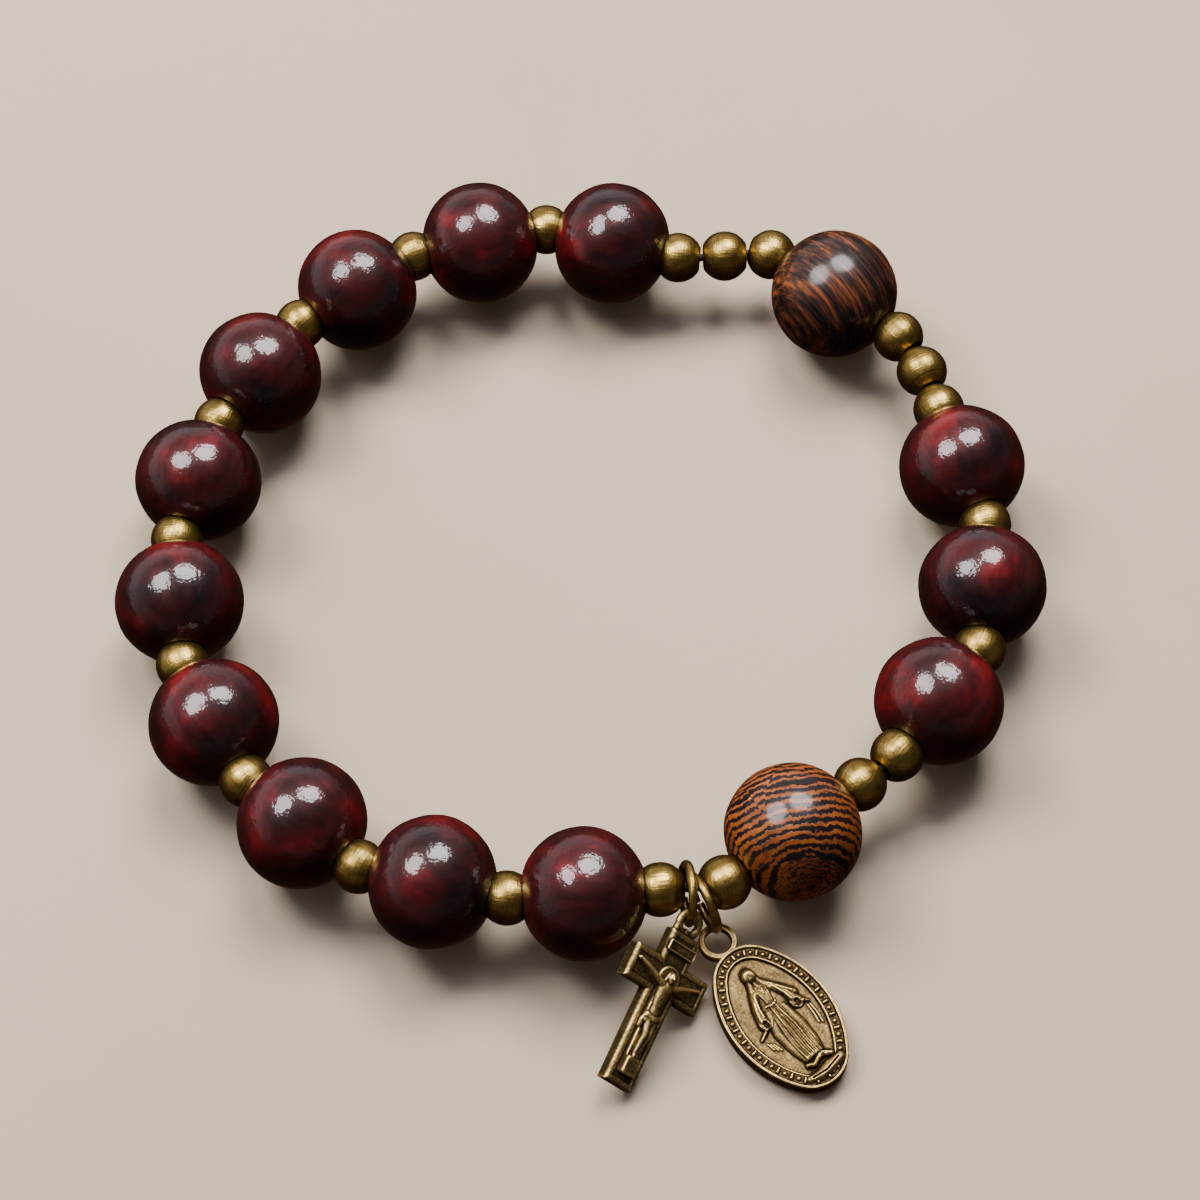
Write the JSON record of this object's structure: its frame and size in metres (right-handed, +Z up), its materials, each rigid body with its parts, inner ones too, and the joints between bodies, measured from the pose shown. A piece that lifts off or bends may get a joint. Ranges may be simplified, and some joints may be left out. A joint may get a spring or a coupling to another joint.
{
  "type": "rosary bracelet",
  "caption": "Stretch rosary bracelet of lacquered red and striped wood beads with small antique brass beads between them, and a crucifix and an oval medal on cut jump rings.",
  "frame": {"origin": "centre of the wrist opening, on the surface that the bracelet lies on", "axes": "+Z up from the surface, along the wrist's way through; -Y towards the pendants, +X to the right of somebody who looks at them"},
  "size_m": [0.0725, 0.0787, 0.0104],
  "materials": {
    "red_wood": "glossy lacquer over dark red wood",
    "striped_wood": "satin lacquer over wood with dark and light stripes",
    "antique_brass": "turned and darkened with age",
    "pendant_brass": "cast, dark in the hollows and worn bright on the edges",
    "elastic": "dark matt elastic"
  },
  "bodies": {
    "root": {"red_bead_1": "red_wood", "red_bead_2": "red_wood", "red_bead_3": "red_wood", "red_bead_4": "red_wood", "red_bead_5": "red_wood", "red_bead_6": "red_wood", "red_bead_7": "red_wood", "red_bead_8": "red_wood", "red_bead_9": "red_wood", "red_bead_10": "red_wood", "red_bead_11": "red_wood", "red_bead_12": "red_wood", "red_bead_13": "red_wood", "striped_bead_1": "striped_wood", "striped_bead_2": "striped_wood", "small_bead_1": "antique_brass", "small_bead_2": "antique_brass", "small_bead_3": "antique_brass", "small_bead_4": "antique_brass", "small_bead_5": "antique_brass", "small_bead_6": "antique_brass", "small_bead_7": "antique_brass", "small_bead_8": "antique_brass", "small_bead_9": "antique_brass", "small_bead_10": "antique_brass", "small_bead_11": "antique_brass", "small_bead_12": "antique_brass", "small_bead_13": "antique_brass", "small_bead_14": "antique_brass", "small_bead_15": "antique_brass", "small_bead_16": "antique_brass", "small_bead_17": "antique_brass", "small_bead_18": "antique_brass", "small_bead_19": "antique_brass", "small_bead_20": "antique_brass", "small_bead_21": "antique_brass", "thread": "elastic", "crucifix_ring": "pendant_brass", "medal_ring": "pendant_brass", "crucifix": "pendant_brass", "medal": "pendant_brass"}
  },
  "joints": []
}
